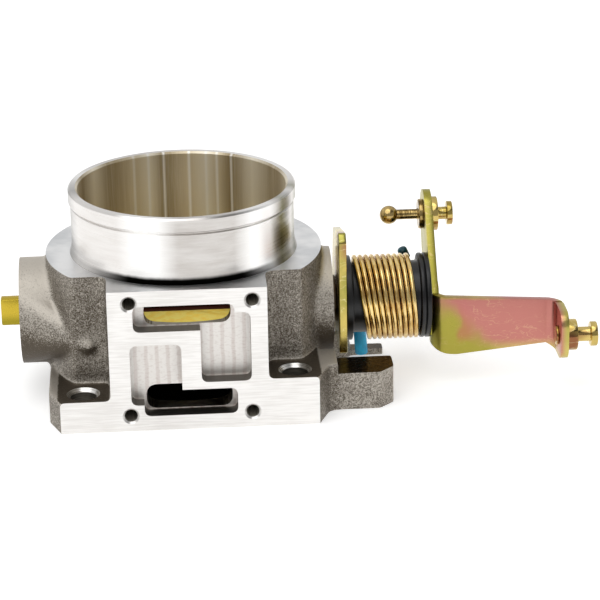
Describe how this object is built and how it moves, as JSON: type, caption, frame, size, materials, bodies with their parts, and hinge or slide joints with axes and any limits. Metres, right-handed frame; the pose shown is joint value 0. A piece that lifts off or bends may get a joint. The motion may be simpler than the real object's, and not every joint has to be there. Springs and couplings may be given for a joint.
{
  "type": "throttle body",
  "caption": "Cable-operated engine throttle body: bare cast and machined housing, butterfly plate on a cross shaft, coil return spring and zinc-plated bell-crank lever",
  "frame": {"origin": "centre of the throttle bore on the bottom face of the manifold flange", "axes": "+Z along the bore towards the air inlet, +X along the throttle shaft towards the lever, -Y towards the idle-air pad"},
  "size_m": [0.2005, 0.085, 0.0713],
  "materials": {
    "cast_aluminium": "sand-cast grey with bright machined faces",
    "bright_steel": "bright turned steel",
    "zinc_plate": "yellow zinc plated steel with a pink and green sheen",
    "plate_brass": "plain brass sheet",
    "seal_rubber": "matt black rubber",
    "black_nylon": "glossy black nylon",
    "spring_wire": "bronze-toned plated spring wire",
    "blue_sleeve": "translucent blue plastic sleeve"
  },
  "bodies": {
    "housing": {"throttle_housing": "cast_aluminium", "idle_stop_screw": "bright_steel", "idle_stop_locknut": "zinc_plate", "bearing_left_outer_race": "bright_steel", "bearing_right_outer_race": "bright_steel", "shaft_seal_left": "seal_rubber", "shaft_seal_right": "seal_rubber", "spring_bushing_left": "black_nylon", "spring_sleeve_fixed": "blue_sleeve", "return_spring": "spring_wire"},
    "throttle": {"throttle_shaft": "zinc_plate", "shaft_retaining_ring": "bright_steel", "bearing_left_inner_race": "bright_steel", "bearing_right_inner_race": "bright_steel", "throttle_plate": "plate_brass", "plate_screw_1": "bright_steel", "plate_screw_2": "bright_steel", "thrust_washer": "bright_steel", "stop_plate": "zinc_plate", "shaft_spacer": "bright_steel", "spring_bushing_right": "black_nylon", "spring_sleeve_free": "blue_sleeve", "throttle_lever": "zinc_plate", "link_ball_stud": "zinc_plate", "link_pin": "zinc_plate", "cable_stud": "zinc_plate"}
  },
  "joints": [
    {"name": "throttle_shaft_turn", "type": "hinge", "parent": "housing", "child": "throttle", "pos_m": [0, 0, 0.028], "axis": [1, 0, 0], "range_deg": [0, 78], "stiffness_Nm_per_rad": 0.4, "springref_deg": -57.3, "deforming": ["return_spring"]}
  ]
}
